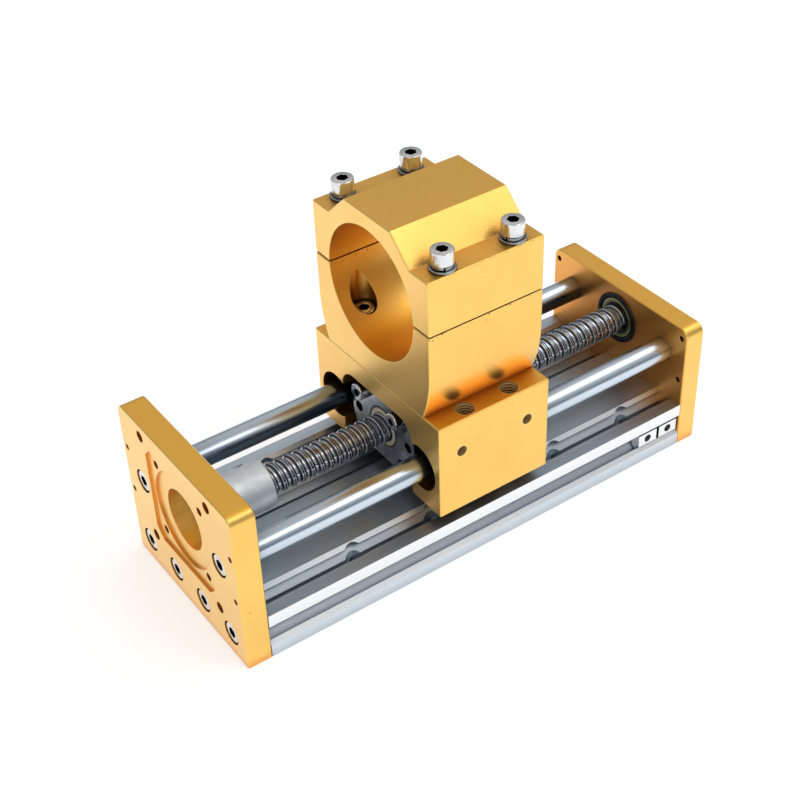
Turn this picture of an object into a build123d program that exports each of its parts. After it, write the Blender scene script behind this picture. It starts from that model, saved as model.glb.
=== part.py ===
from build123d import *
import math
import os

# Z-axis linear module lying on its extrusion, all lengths in millimetres.
# X runs along the screw from the motor plate (-X) to the bearing plate (+X),
# the near side is -Y, and Z = 0 is the underside of the extrusion and of both plates.

# overall layout
profile_length = 195.0
screw_height = 41.0
carriage_rest = 74.7          # motor plate's inner face to the carriage's end face

# slotted aluminium extrusion
profile_height = 20.0
slot_count = 4
slot_opening = 9.16
slot_neck = 6.2
slot_lip = 1.8
slot_cavity = 11.0
slot_shoulder = 3.4
slot_floor = 5.6
slot_depth = 6.1
hollow_top_width = 6.0
hollow_mid_width = 11.8
hollow_mid_height = 7.0
hollow_shoulder_height = 12.8
mount_hole_centre = 12.25     # middle of the hole pattern, from the module's middle
mount_hole_inner = 60.0       # distance between the two inner holes of a row
mount_hole_outer = 131.0      # distance between the two outer holes of a row
mount_hole_head = 8.6
mount_hole_shank = 5.5

# end plates
motor_plate_thickness = 10.0
motor_plate_height = 70.0
bearing_plate_thickness = 9.0
bearing_plate_height = 55.5
plate_corner_radius = 4.0
edge_break = 0.4
small_motor_pitch = 31.0
small_motor_hole = 3.4
small_motor_pocket = 42.6
small_motor_corner = 4.2
small_motor_depth = 1.0
large_motor_pitch = 47.14
large_motor_thread = 4.6
large_motor_pilot = 38.4
large_motor_pilot_depth = 2.0
shaft_opening = 24.0
cover_hole_inset = 3.0
cover_hole_pitch = 20.0
cover_hole_thread = 2.5

# guide rods and their end screws
rod_diameter = 10.0
rod_to_flange = 2.5           # clear space between a rod and the nut's flange
rod_seat_motor = 2.0
rod_seat_bearing = 1.5
rod_thread_depth = 16.0
rod_end_chamfer = 0.8

# socket head cap screws
m5_diameter = 5.0
m5_head = 8.5
m5_head_height = 5.0
m5_hex = 4.0
m4_diameter = 4.0
m4_head = 7.0
m4_head_height = 4.0
m4_hex = 3.0
counterbore = 9.6
counterbore_depth = 5.3
clearance_hole_m5 = 5.5
profile_screw_length = 20.0
rod_screw_length = 14.0
thread_play = 0.05
tap_allowance = 0.5           # a tapped hole runs this far past its screw
head_chamfer_share = 0.06     # of the head's diameter
tip_chamfer_share = 0.1       # of the thread's diameter
socket_depth_share = 0.55     # of the head's height

# screw, coupling and end bearing
screw_diameter = 12.0
journal_diameter = 8.0
screw_end_play = 0.5
coupling_diameter = 19.0
coupling_length = 25.0
coupling_chamfer = 0.5
motor_shaft_bore = 6.35
coupling_screw_inset = 7.3
coupling_screw_turns = (54.0, -36.0)    # degrees up from the far side
coupling_screw_diameter = 4.0
coupling_screw_hex = 2.0
coupling_screw_sink = 1.0     # below the coupling's surface
coupling_screw_socket = 1.5
coupling_screw_gap = 0.1      # to the shaft
journal_gap = 1.0             # between the two shafts in the coupling, from the middle
bearing_outer = 22.0
bearing_width = 7.0
bearing_proud = 0.6
bearing_outer_race = 19.0
bearing_inner_race = 12.2
bearing_ball = 3.9
bearing_ball_count = 8
bearing_shield = 0.4
bearing_shield_inset = 0.3
bearing_shield_gap = 0.15     # to the inner ring
bearing_play = 0.05
bearing_relief = 16.0
clip_groove = 6.6
clip_thickness = 0.8
clip_diameter = 13.0
clip_gap = 5.4
clip_gap_beyond = 0.3

# carriage block
block_length = 50.0
block_height = 41.0
block_top = 25.0              # above the screw axis
block_wall = 3.0              # outside of each linear bearing
channel_play = 2.5            # between the nut's flange and the channel's walls
channel_roof_play = 1.0       # between the nut's flange and the channel's roof
channel_corner = 7.5
flange_inset = 2.8
linear_outer = 19.0
linear_length = 29.0
linear_sleeve_bore = 15.0
linear_seal_length = 1.6
linear_gap = 0.5              # from the nut's flange to the bearing's end
housing_play = 0.02
rod_play = 0.05
side_hole_pitch = 30.0
side_hole_height = 11.0       # above the screw axis
side_hole_thread = 4.2
side_hole_depth = 8.0
shelf_hole_pitch = 20.0
shelf_hole_thread = 6.8
shelf_hole_depth = 14.0

# ball nut
flange_diameter = 40.0
flange_thickness = 10.0
flange_flat_cut = 5.0
nut_hole_angles = (0, 45, 135, 180, 225, 315)
nut_screw_angles = (45, 135)
nut_body = 24.0
nut_length = 34.0
nut_body_play = 0.1
nut_hole_inset = 4.0
nut_hole = 4.6
nut_bore = 12.5
wiper_outer = 17.6
wiper_bore = 12.3
wiper_thickness = 1.6
nut_screw_length = 18.0

# spindle clamp
spindle_diameter = 52.0
clamp_wall = 9.0              # beside the spindle
clamp_floor = 11.0            # below the spindle
clamp_crown = 6.0             # above the spindle
clamp_foot_inset = 4.6
clamp_side_drop = 16.0        # below the spindle's axis, where the side starts to curve in
parting_gap = 0.6
hump_rise = 10.0
hump_run = 10.9
ledge_width = 10.4
clamp_screw_inset = 5.2
clamp_screw_pitch = 30.0
clamp_screw_length = 40.0
washer_outer = 10.0
washer_thickness = 1.0
spring_washer_outer = 8.4
spring_washer_thickness = 1.6
spring_washer_gap = 0.8
base_screw_inset = 6.0        # inside the spindle bore's side
base_screw_bore = 10.0
base_screw_length = 19.0

# slot nuts
slot_nut_length = 9.4
slot_nut_gap = 0.35
slot_nut_thread = 3.4
slot_nut_first = 16.0         # from the bearing plate's inner face to the nut's middle
slot_nut_second = 5.2

# modelling values
past = 1.0                    # how far a cut runs past a face, or a joined shape into its neighbour
tiny = 0.01                   # for telling which edges lie on a face

# sizes and places worked out from those above
flange_across_flats = flange_diameter - 2 * flange_flat_cut
nut_hole_circle = flange_diameter - 2 * nut_hole_inset
rod_spacing = flange_diameter + rod_diameter + 2 * rod_to_flange
module_width = rod_spacing + linear_outer + 2 * block_wall
slot_pitch = module_width / slot_count
channel_width = flange_diameter + 2 * channel_play
channel_top = flange_across_flats / 2 + channel_roof_play
clamp_width = spindle_diameter + 2 * clamp_wall
clamp_foot_width = clamp_width - 2 * clamp_foot_inset
hump_base_width = clamp_width - 2 * ledge_width
hump_top_width = hump_base_width - 2 * hump_run
base_screw_across = spindle_diameter - 2 * base_screw_inset
cover_hole_across = module_width - 2 * cover_hole_inset
module_length = motor_plate_thickness + profile_length + bearing_plate_thickness
motor_outer_x = -module_length / 2
motor_inner_x = motor_outer_x + motor_plate_thickness
bearing_inner_x = motor_inner_x + profile_length
bearing_outer_x = bearing_inner_x + bearing_plate_thickness
block_start_x = motor_inner_x + carriage_rest
block_end_x = block_start_x + block_length
block_middle_x = block_start_x + block_length / 2
block_top_z = screw_height + block_top
block_bottom_z = block_top_z - block_height
spindle_z = block_top_z + clamp_floor + spindle_diameter / 2
hump_z = spindle_z + spindle_diameter / 2 + clamp_crown
ledge_z = hump_z - hump_rise
base_seat_z = block_top_z + clamp_floor
flange_front_x = block_start_x + flange_inset
flange_back_x = flange_front_x + flange_thickness
coupling_end_x = motor_inner_x + coupling_length
bearing_front_x = bearing_inner_x - bearing_proud
bearing_back_x = bearing_front_x + bearing_width
clamp_screw_y = clamp_width / 2 - clamp_screw_inset
slot_rows = [(i - (slot_count - 1) / 2) * slot_pitch for i in range(slot_count)]
mount_columns = [mount_hole_centre + s * d / 2
                 for d in (mount_hole_outer, mount_hole_inner) for s in (-1, 1)]


def along_x(radius, x_from, x_to, y=0.0, z=0.0):
    """Round bar or hole along X between two X places."""
    bar = Rot(0, 90, 0) * Cylinder(radius, x_to - x_from)
    return Pos((x_from + x_to) / 2, y, z) * bar


def along_y(radius, y_from, y_to, x, z):
    bar = Rot(90, 0, 0) * Cylinder(radius, y_to - y_from)
    return Pos(x, (y_from + y_to) / 2, z) * bar


def upright(radius, z_from, z_to, x, y):
    return Pos(x, y, (z_from + z_to) / 2) * Cylinder(radius, z_to - z_from)


def ring_along_x(outer, inner, x_from, x_to, y=0.0, z=0.0):
    return along_x(outer, x_from, x_to, y, z) - along_x(inner, x_from, x_to, y, z)


def prism_along_x(outline, x_from, x_to):
    """Solid with an outline given as (y, z) points, between two X places."""
    face = Plane.YZ * Polygon(*outline, align=None)
    return Pos(x_from, 0, 0) * extrude(face, x_to - x_from, dir=(1, 0, 0))


def group(solids):
    return Compound(children=list(solids))


def cap_screw(diameter, head, head_height, hex_size, length):
    """Socket head cap screw, head above Z = 0 and shank below."""
    body = Pos(0, 0, head_height / 2) * Cylinder(head / 2, head_height)
    body = chamfer(body.edges().group_by(Axis.Z)[-1], head * head_chamfer_share)
    shank = upright(diameter / 2, -length, 0, 0, 0)
    shank = chamfer(shank.edges().group_by(Axis.Z)[0], diameter * tip_chamfer_share)
    hex_depth = head_height * socket_depth_share
    hexagon = RegularPolygon(hex_size / math.sqrt(3), 6)
    socket = extrude(Pos(0, 0, head_height - hex_depth) * hexagon, hex_depth)
    return body + shank - socket


def plate_blank(x_from, thickness, height):
    """End plate with rounded upper corners and broken edges."""
    blank = Pos(x_from + thickness / 2, 0, height / 2) * Box(thickness, module_width, height)
    upper = blank.edges().filter_by(Axis.X).group_by(Axis.Z)[-1]
    blank = fillet(upper, plate_corner_radius)
    rims = [e for e in blank.edges() if abs(e.center().X - x_from) < tiny
            or abs(e.center().X - x_from - thickness) < tiny]
    return chamfer(rims, edge_break)


def cover_holes(x_from, x_to):
    return [along_x(cover_hole_thread / 2, x_from, x_to, side * cover_hole_across / 2,
                    screw_height + level * cover_hole_pitch / 2)
            for side in (-1, 1) for level in (-1, 1)]


def square_pattern(pitch):
    return [(side * pitch / 2, screw_height + level * pitch / 2)
            for side in (-1, 1) for level in (-1, 1)]


def screw_places():
    """Plate screws as (y, z): four into the extrusion, two into the rods."""
    profile = [(y, profile_height / 2) for y in slot_rows]
    rods = [(side * rod_spacing / 2, screw_height) for side in (-1, 1)]
    return profile, rods


def motor_plate():
    x0, x1 = motor_outer_x, motor_inner_x
    plate = plate_blank(x0, motor_plate_thickness, motor_plate_height)
    pocket = Box(small_motor_depth * 2, small_motor_pocket, small_motor_pocket)
    pocket = chamfer(pocket.edges().filter_by(Axis.X), small_motor_corner)
    plate -= Pos(x0, 0, screw_height) * pocket
    plate -= along_x(large_motor_pilot / 2, x0 - past, x0 + large_motor_pilot_depth, 0, screw_height)
    plate -= along_x(shaft_opening / 2, x0 - past, x1 + past, 0, screw_height)
    for y, z in square_pattern(small_motor_pitch):
        plate -= along_x(small_motor_hole / 2, x0 - past, x1 + past, y, z)
    for y, z in square_pattern(large_motor_pitch):
        plate -= along_x(large_motor_thread / 2, x0 - past, x1 + past, y, z)
    for hole in cover_holes(x0 - past, x1 + past):
        plate -= hole
    profile, rods = screw_places()
    for y, z in profile + rods:
        plate -= along_x(clearance_hole_m5 / 2, x0 - past, x1 + past, y, z)
        plate -= along_x(counterbore / 2, x0 - past, x0 + counterbore_depth, y, z)
    for y, z in rods:
        plate -= along_x(rod_diameter / 2 + housing_play, x1 - rod_seat_motor, x1 + past, y, z)
    return plate


def bearing_plate():
    x0, x1 = bearing_inner_x, bearing_outer_x
    plate = plate_blank(x0, bearing_plate_thickness, bearing_plate_height)
    plate -= along_x(bearing_outer / 2 + housing_play, x0 - past, bearing_back_x, 0, screw_height)
    plate -= along_x(bearing_relief / 2, x0, x1 + past, 0, screw_height)
    for hole in cover_holes(x0 - past, x1 + past):
        plate -= hole
    profile, rods = screw_places()
    for y, z in profile + rods:
        plate -= along_x(clearance_hole_m5 / 2, x0 - past, x1 + past, y, z)
        plate -= along_x(counterbore / 2, x1 - counterbore_depth, x1 + past, y, z)
    for y, z in rods:
        plate -= along_x(rod_diameter / 2 + housing_play, x0 - past, x0 + rod_seat_bearing, y, z)
    return plate


def slot_outline(along, across):
    """Slot section as points (sideways, down from the face), mapped to (y, z)."""
    half = [(slot_opening / 2, 0.0), (slot_neck / 2, (slot_opening - slot_neck) / 2),
            (slot_neck / 2, slot_lip), (slot_cavity / 2, slot_lip),
            (slot_cavity / 2, slot_shoulder), (slot_floor / 2, slot_depth)]
    points = half + [(-s, d) for s, d in reversed(half)]
    return [(along(s, d), across(s, d)) for s, d in points]


def base_profile():
    half = module_width / 2
    mid = profile_height / 2
    body = prism_along_x([(-half, 0), (half, 0), (half, profile_height), (-half, profile_height)],
                         motor_inner_x, bearing_inner_x)
    outlines = []
    for y0 in slot_rows:
        outlines.append(slot_outline(lambda s, d: y0 + s, lambda s, d: profile_height - d))
        outlines.append(slot_outline(lambda s, d: y0 + s, lambda s, d: d))
    outlines.append(slot_outline(lambda s, d: d - half, lambda s, d: mid + s))
    outlines.append(slot_outline(lambda s, d: half - d, lambda s, d: mid + s))
    for y0 in [row + slot_pitch / 2 for row in slot_rows[:-1]]:
        quarter = [(hollow_top_width / 2, mid - slot_lip),
                   (hollow_top_width / 2, hollow_shoulder_height / 2),
                   (hollow_mid_width / 2, hollow_mid_height / 2)]
        right = quarter + [(y, -z) for y, z in reversed(quarter)]
        ring = right + [(-y, z) for y, z in reversed(right)]
        outlines.append([(y0 + y, mid + z) for y, z in ring])
    for outline in outlines:
        body -= prism_along_x(outline, motor_inner_x - past, bearing_inner_x + past)
    for y0 in slot_rows:
        body -= along_x(m5_diameter / 2 + thread_play, motor_inner_x - past, bearing_inner_x + past, y0, mid)
    for x in mount_columns:
        for y in (slot_rows[0], slot_rows[-1]):
            body -= upright(mount_hole_shank / 2, -1, profile_height, x, y)
            body -= upright(mount_hole_head / 2, profile_height - slot_depth, profile_height + past, x, y)
    return body


def guide_rod(y):
    x0 = motor_inner_x - rod_seat_motor
    x1 = bearing_inner_x + rod_seat_bearing
    rod = along_x(rod_diameter / 2, x0, x1, y, screw_height)
    rod = chamfer(rod.edges().filter_by(GeomType.CIRCLE), rod_end_chamfer)
    thread = m5_diameter / 2 + thread_play
    rod -= along_x(thread, x0 - past, x0 + rod_thread_depth, y, screw_height)
    rod -= along_x(thread, x1 - rod_thread_depth, x1 + past, y, screw_height)
    return rod


def plate_screws(places, seat_x, turn, length):
    screw = cap_screw(m5_diameter, m5_head, m5_head_height, m5_hex, length)
    return group(Pos(seat_x, y, z) * Rot(0, turn, 0) * screw for y, z in places)


def ball_screw():
    """Screw shaft with its coupling journal, bearing journal and clip groove."""
    journal = journal_diameter / 2
    shaft = along_x(screw_diameter / 2, coupling_end_x + screw_end_play,
                    bearing_front_x - screw_end_play, 0, screw_height)
    journal_x = coupling_end_x - coupling_length / 2 + journal_gap
    shaft += along_x(journal, journal_x, coupling_end_x + past, 0, screw_height)
    tip = bearing_back_x + clip_thickness + 2 * clip_gap_beyond
    shaft += along_x(journal, bearing_front_x - past, tip, 0, screw_height)
    groove_x = bearing_back_x
    return shaft - ring_along_x(journal + past, clip_groove / 2, groove_x, groove_x + clip_thickness,
                                0, screw_height)


def coupling_screw_places():
    ends = (coupling_end_x - coupling_length + coupling_screw_inset, coupling_end_x - coupling_screw_inset)
    return [(x, angle) for x in ends for angle in coupling_screw_turns]


def on_coupling(x, angle, distance):
    """Place at a distance from the screw axis, with Z turned outwards."""
    return Pos(x, 0, screw_height) * Rot(angle - 90, 0, 0) * Pos(0, 0, distance)


def shaft_coupling():
    x0 = coupling_end_x - coupling_length
    body = along_x(coupling_diameter / 2, x0, coupling_end_x, 0, screw_height)
    body = chamfer(body.edges().filter_by(GeomType.CIRCLE), coupling_chamfer)
    body -= along_x(motor_shaft_bore / 2, x0 - past, coupling_end_x, 0, screw_height)
    body -= along_x(journal_diameter / 2 + housing_play, x0 + coupling_length / 2, coupling_end_x + past,
                    0, screw_height)
    reach = coupling_diameter / 2
    for x, angle in coupling_screw_places():
        hole = Cylinder(coupling_screw_diameter / 2 + thread_play, reach)
        body -= on_coupling(x, angle, reach / 2 + past) * hole
    return body


def coupling_set_screws():
    """Grub screws that bear on the two shafts in the coupling."""
    screws = []
    for x, angle in coupling_screw_places():
        shaft = motor_shaft_bore if x < coupling_end_x - coupling_length / 2 else journal_diameter
        bottom = shaft / 2 + coupling_screw_gap
        length = coupling_diameter / 2 - coupling_screw_sink - bottom
        grub = Cylinder(coupling_screw_diameter / 2, length)
        hexagon = RegularPolygon(coupling_screw_hex / math.sqrt(3), 6)
        socket = extrude(hexagon, coupling_screw_socket + past)
        grub -= Pos(0, 0, length / 2 - coupling_screw_socket) * socket
        screws.append(on_coupling(x, angle, bottom + length / 2) * grub)
    return group(screws)


def bearing_rings():
    """Outer ring, inner ring and balls of the deep groove end bearing."""
    outer = ring_along_x(bearing_outer / 2, bearing_outer_race / 2, bearing_front_x, bearing_back_x,
                         0, screw_height)
    inner = ring_along_x(bearing_inner_race / 2, journal_diameter / 2 + housing_play,
                         bearing_front_x, bearing_back_x, 0, screw_height)
    middle_x = (bearing_front_x + bearing_back_x) / 2
    pitch_radius = (bearing_outer_race + bearing_inner_race) / 4
    groove = Rot(0, 90, 0) * Torus(pitch_radius, bearing_ball / 2 + bearing_play)
    groove = Pos(middle_x, 0, screw_height) * groove
    balls = []
    for i in range(bearing_ball_count):
        turn = Pos(middle_x, 0, screw_height) * Rot(360 * i / bearing_ball_count, 0, 0)
        balls.append(turn * Pos(0, 0, pitch_radius) * Sphere(bearing_ball / 2))
    return outer - groove, inner - groove, group(balls)


def bearing_shields():
    front = bearing_front_x + bearing_shield_inset
    back = bearing_back_x - bearing_shield_inset - bearing_shield
    inner = bearing_inner_race / 2 + bearing_shield_gap
    return group(ring_along_x(bearing_outer_race / 2, inner, x, x + bearing_shield, 0, screw_height)
                 for x in (front, back))


def end_clip():
    """Open retaining ring in the groove behind the bearing."""
    ring = ring_along_x(clip_diameter / 2, clip_groove / 2, bearing_back_x,
                        bearing_back_x + clip_thickness, 0, screw_height)
    opening = Box(3 * clip_thickness, clip_gap, clip_diameter)
    return ring - Pos(bearing_back_x, 0, screw_height - clip_diameter / 2) * opening


def flange_channel():
    """Flange recess in the carriage: flat top, rounded upper corners, open underneath and in front."""
    top = screw_height + channel_top
    bottom = block_bottom_z - channel_corner
    back = flange_back_x
    front = block_start_x - channel_corner
    recess = Box(back - front, channel_width, top - bottom)
    recess = fillet(recess.edges().filter_by(Axis.X).group_by(Axis.Z)[-1], channel_corner)
    return Pos((front + back) / 2, 0, (top + bottom) / 2) * recess


def carriage_block():
    body = Pos(block_middle_x, 0, block_top_z - block_height / 2) * Box(block_length, module_width,
                                                                       block_height)
    body = chamfer(body.edges(), edge_break)
    body -= flange_channel()
    body -= along_x(nut_body / 2 + nut_body_play, block_start_x, block_end_x + past, 0, screw_height)
    for side in (-1, 1):
        body -= along_x(linear_outer / 2 + housing_play, block_start_x - past, block_end_x + past,
                        side * rod_spacing / 2, screw_height)
        for column in (-1, 1):
            x = block_middle_x + column * side_hole_pitch / 2
            wall = side * module_width / 2
            ends = sorted((wall - side * side_hole_depth, wall + side))
            body -= along_y(side_hole_thread / 2, ends[0], ends[1], x, screw_height + side_hole_height)
            x = block_middle_x + column * shelf_hole_pitch / 2
            shelf_y = side * (clamp_foot_width + module_width) / 4
            body -= upright(shelf_hole_thread / 2, block_top_z - shelf_hole_depth, block_top_z + past,
                            x, shelf_y)
    for x, y in base_screw_places():
        body -= upright(m5_diameter / 2 + thread_play, base_seat_z - base_screw_length - tap_allowance,
                        block_top_z + past, x, y)
    for y, z in nut_screw_places():
        body -= along_x(m4_diameter / 2 + thread_play, flange_back_x - past,
                        flange_front_x + nut_screw_length + tap_allowance, y, z)
    return body


def base_screw_places():
    return [(block_middle_x + column * clamp_screw_pitch / 2, side * base_screw_across / 2)
            for column in (-1, 1) for side in (-1, 1)]


def clamp_screw_places():
    return [(block_middle_x + column * clamp_screw_pitch / 2, side * clamp_screw_y)
            for column in (-1, 1) for side in (-1, 1)]


def nut_screw_places():
    radius = nut_hole_circle / 2
    return [(radius * math.cos(math.radians(a)), screw_height + radius * math.sin(math.radians(a)))
            for a in nut_screw_angles]


def clamp_base():
    """Lower half of the spindle clamp, its sides curving in towards the foot."""
    half = clamp_width / 2
    foot = clamp_foot_width / 2
    top = spindle_z - parting_gap / 2
    break_z = spindle_z - clamp_side_drop
    drop = break_z - block_top_z
    inward = half - foot
    radius = (drop ** 2 + inward ** 2) / (2 * inward)
    sweep = math.asin(drop / radius)
    mid_y = half - radius * (1 - math.cos(sweep / 2))
    mid_z = break_z - radius * math.sin(sweep / 2)
    edges = [Line((-foot, block_top_z), (foot, block_top_z)),
             ThreePointArc((foot, block_top_z), (mid_y, mid_z), (half, break_z)),
             Line((half, break_z), (half, top)), Line((half, top), (-half, top)),
             Line((-half, top), (-half, break_z)),
             ThreePointArc((-half, break_z), (-mid_y, mid_z), (-foot, block_top_z))]
    face = Plane.YZ * make_face(Curve() + edges)
    body = Pos(block_start_x, 0, 0) * extrude(face, block_length)
    rims = [e for e in body.edges() if abs(e.center().X - block_middle_x) > block_length / 2 - tiny
            and e.center().Z > block_top_z + past]
    body = chamfer(rims, edge_break)
    body -= along_x(spindle_diameter / 2, block_start_x - past, block_end_x + past, 0, spindle_z)
    for x, y in clamp_screw_places():
        body -= upright(m5_diameter / 2 + thread_play, clamp_screw_bottom() - past, top + past, x, y)
    for x, y in base_screw_places():
        body -= upright(clearance_hole_m5 / 2, block_top_z - past, base_seat_z + past, x, y)
        body -= upright(base_screw_bore / 2, base_seat_z, spindle_z, x, y)
    return body


def clamp_cap():
    """Upper half of the spindle clamp with bolting ledges and a raised middle."""
    half = clamp_width / 2
    bottom = spindle_z + parting_gap / 2
    right = [(half, bottom), (half, ledge_z), (hump_base_width / 2, ledge_z), (hump_top_width / 2, hump_z)]
    outline = right + [(-y, z) for y, z in reversed(right)]
    body = prism_along_x(outline, block_start_x, block_end_x)
    rims = [e for e in body.edges() if abs(e.center().X - block_middle_x) > block_length / 2 - tiny
            or (e.center().Z > ledge_z - tiny and abs(e.center().Y) > half - tiny)]
    body = chamfer(rims, edge_break)
    body -= along_x(spindle_diameter / 2, block_start_x - past, block_end_x + past, 0, spindle_z)
    for x, y in clamp_screw_places():
        body -= upright(clearance_hole_m5 / 2, bottom - past, ledge_z + past, x, y)
    return body


def clamp_head_seat():
    return ledge_z + washer_thickness + spring_washer_thickness


def clamp_screw_bottom():
    return clamp_head_seat() - clamp_screw_length


def clamp_screws():
    screw = cap_screw(m5_diameter, m5_head, m5_head_height, m5_hex, clamp_screw_length)
    return group(Pos(x, y, clamp_head_seat()) * screw for x, y in clamp_screw_places())


def washer_set(outer, z_from, thickness, split):
    """Washers under the clamp screw heads, flat or split like a spring washer."""
    washers = []
    for x, y in clamp_screw_places():
        ring = Cylinder(outer / 2, thickness) - Cylinder(clearance_hole_m5 / 2, thickness)
        if split:
            ring -= Pos(outer / 2, 0, 0) * Box(outer, split, thickness)
        washers.append(Pos(x, y, z_from + thickness / 2) * ring)
    return group(washers)


def base_screws():
    screw = cap_screw(m5_diameter, m5_head, m5_head_height, m5_hex, base_screw_length)
    return group(Pos(x, y, base_seat_z) * screw for x, y in base_screw_places())


def linear_bearing(y):
    """Sleeve, ball cage and end seals of one linear bearing, just behind the nut's flange."""
    x0 = flange_back_x + linear_gap
    x1 = x0 + linear_length
    sleeve = ring_along_x(linear_outer / 2, linear_sleeve_bore / 2, x0, x1, y, screw_height)
    rod_hole = rod_diameter / 2 + rod_play
    outer = linear_sleeve_bore / 2 - housing_play
    cage = ring_along_x(outer, rod_hole, x0 + linear_seal_length, x1 - linear_seal_length, y, screw_height)
    seals = group(ring_along_x(outer, rod_hole, a, b, y, screw_height)
                  for a, b in ((x0, x0 + linear_seal_length), (x1 - linear_seal_length, x1)))
    return sleeve, cage, seals


def ball_nut():
    """Flanged nut with two flats, its body in the carriage's web."""
    z = screw_height
    flange = along_x(flange_diameter / 2, flange_front_x, flange_back_x, 0, z)
    flange &= Pos((flange_front_x + flange_back_x) / 2, 0, z) * Box(flange_thickness, flange_diameter,
                                                                     flange_across_flats)
    nut = flange + along_x(nut_body / 2, flange_back_x - past, flange_front_x + nut_length, 0, z)
    nut -= along_x(nut_bore / 2, flange_front_x - past, flange_front_x + nut_length + past, 0, z)
    end_x = flange_front_x + nut_length
    nut -= along_x(wiper_outer / 2, flange_front_x - past, flange_front_x + wiper_thickness, 0, z)
    nut -= along_x(wiper_outer / 2, end_x - wiper_thickness, end_x + past, 0, z)
    radius = nut_hole_circle / 2
    for angle in nut_hole_angles:
        y = radius * math.cos(math.radians(angle))
        hole_z = z + radius * math.sin(math.radians(angle))
        nut -= along_x(nut_hole / 2, flange_front_x - past, flange_back_x + past, y, hole_z)
    return nut


def nut_wipers():
    end_x = flange_front_x + nut_length
    outer = wiper_outer / 2 - housing_play
    return group(ring_along_x(outer, wiper_bore / 2, x, x + wiper_thickness, 0, screw_height)
                 for x in (flange_front_x, end_x - wiper_thickness))


def nut_screws():
    screw = cap_screw(m4_diameter, m4_head, m4_head_height, m4_hex, nut_screw_length)
    return group(Pos(flange_front_x, y, z) * Rot(0, -90, 0) * screw for y, z in nut_screw_places())


def slot_nut(from_plate):
    """Nut that slides in the near side slot of the extrusion."""
    gap = slot_nut_gap
    half = [(slot_neck / 2 - gap, slot_lip / 2), (slot_neck / 2 - gap, slot_lip + gap),
            (slot_cavity / 2 - gap, slot_lip + gap), (slot_cavity / 2 - gap, slot_shoulder - gap / 2),
            (slot_floor / 2 - gap / 2, slot_depth - gap)]
    points = half + [(-s, d) for s, d in reversed(half)]
    mid = profile_height / 2
    face_y = -module_width / 2
    x = bearing_inner_x - from_plate
    nut = prism_along_x([(face_y + d, mid + s) for s, d in points],
                        x - slot_nut_length / 2, x + slot_nut_length / 2)
    return nut - along_y(slot_nut_thread / 2, face_y, face_y + slot_depth + past, x, mid)


def main():
    profile_places, rod_places = screw_places()
    motor_seat = motor_outer_x + counterbore_depth
    bearing_seat = bearing_outer_x - counterbore_depth
    outer_ring, inner_ring, balls = bearing_rings()
    nodes = {
        "base_profile": base_profile(),
        "motor_plate": motor_plate(),
        "bearing_plate": bearing_plate(),
        "motor_plate_profile_screws": plate_screws(profile_places, motor_seat, -90, profile_screw_length),
        "motor_plate_rod_screws": plate_screws(rod_places, motor_seat, -90, rod_screw_length),
        "bearing_plate_profile_screws": plate_screws(profile_places, bearing_seat, 90, profile_screw_length),
        "bearing_plate_rod_screws": plate_screws(rod_places, bearing_seat, 90, rod_screw_length),
        "end_bearing_outer_ring": outer_ring,
        "end_bearing_inner_ring": inner_ring,
        "end_bearing_balls": balls,
        "end_bearing_shields": bearing_shields(),
        "screw_end_clip": end_clip(),
        "ball_screw": ball_screw(),
        "shaft_coupling": shaft_coupling(),
        "coupling_set_screws": coupling_set_screws(),
        "carriage_block": carriage_block(),
        "ball_nut": ball_nut(),
        "ball_nut_wipers": nut_wipers(),
        "ball_nut_screws": nut_screws(),
        "clamp_base": clamp_base(),
        "clamp_cap": clamp_cap(),
        "clamp_base_screws": base_screws(),
        "clamp_screws": clamp_screws(),
        "clamp_washers": washer_set(washer_outer, ledge_z, washer_thickness, 0),
        "clamp_spring_washers": washer_set(spring_washer_outer, ledge_z + washer_thickness,
                                           spring_washer_thickness, spring_washer_gap),
        "slot_nut_left": slot_nut(slot_nut_first),
        "slot_nut_right": slot_nut(slot_nut_second),
    }
    for name, side in (("near", -1), ("far", 1)):
        y = side * rod_spacing / 2
        sleeve, cage, seals = linear_bearing(y)
        nodes[name + "_guide_rod"] = guide_rod(y)
        nodes[name + "_bearing_sleeve"] = sleeve
        nodes[name + "_bearing_cage"] = cage
        nodes[name + "_bearing_seals"] = seals
    os.makedirs("parts", exist_ok=True)
    for name, shape in nodes.items():
        export_step(shape, "parts/" + name + ".step")


main()
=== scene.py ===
import math

import bpy
from mathutils import Matrix, Vector


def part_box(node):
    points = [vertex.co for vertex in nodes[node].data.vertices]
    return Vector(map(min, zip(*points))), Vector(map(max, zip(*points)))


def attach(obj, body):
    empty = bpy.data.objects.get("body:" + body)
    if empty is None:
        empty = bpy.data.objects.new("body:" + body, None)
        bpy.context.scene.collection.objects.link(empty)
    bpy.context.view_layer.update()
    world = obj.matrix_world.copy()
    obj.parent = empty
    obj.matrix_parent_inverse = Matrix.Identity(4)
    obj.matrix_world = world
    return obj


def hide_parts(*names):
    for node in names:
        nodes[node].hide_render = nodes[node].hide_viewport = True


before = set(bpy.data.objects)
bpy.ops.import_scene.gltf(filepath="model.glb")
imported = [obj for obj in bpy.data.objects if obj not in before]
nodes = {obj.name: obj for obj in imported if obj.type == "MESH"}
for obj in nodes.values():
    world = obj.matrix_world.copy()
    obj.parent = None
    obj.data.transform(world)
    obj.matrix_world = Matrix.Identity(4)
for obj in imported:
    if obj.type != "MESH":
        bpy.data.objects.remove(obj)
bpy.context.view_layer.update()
bpy.context.scene.view_settings.view_transform = "Standard"
print("frame loaded,", len(nodes), "parts")

mm = 0.001
hair = 0.001 * mm  # closer than this is the same place


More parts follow.
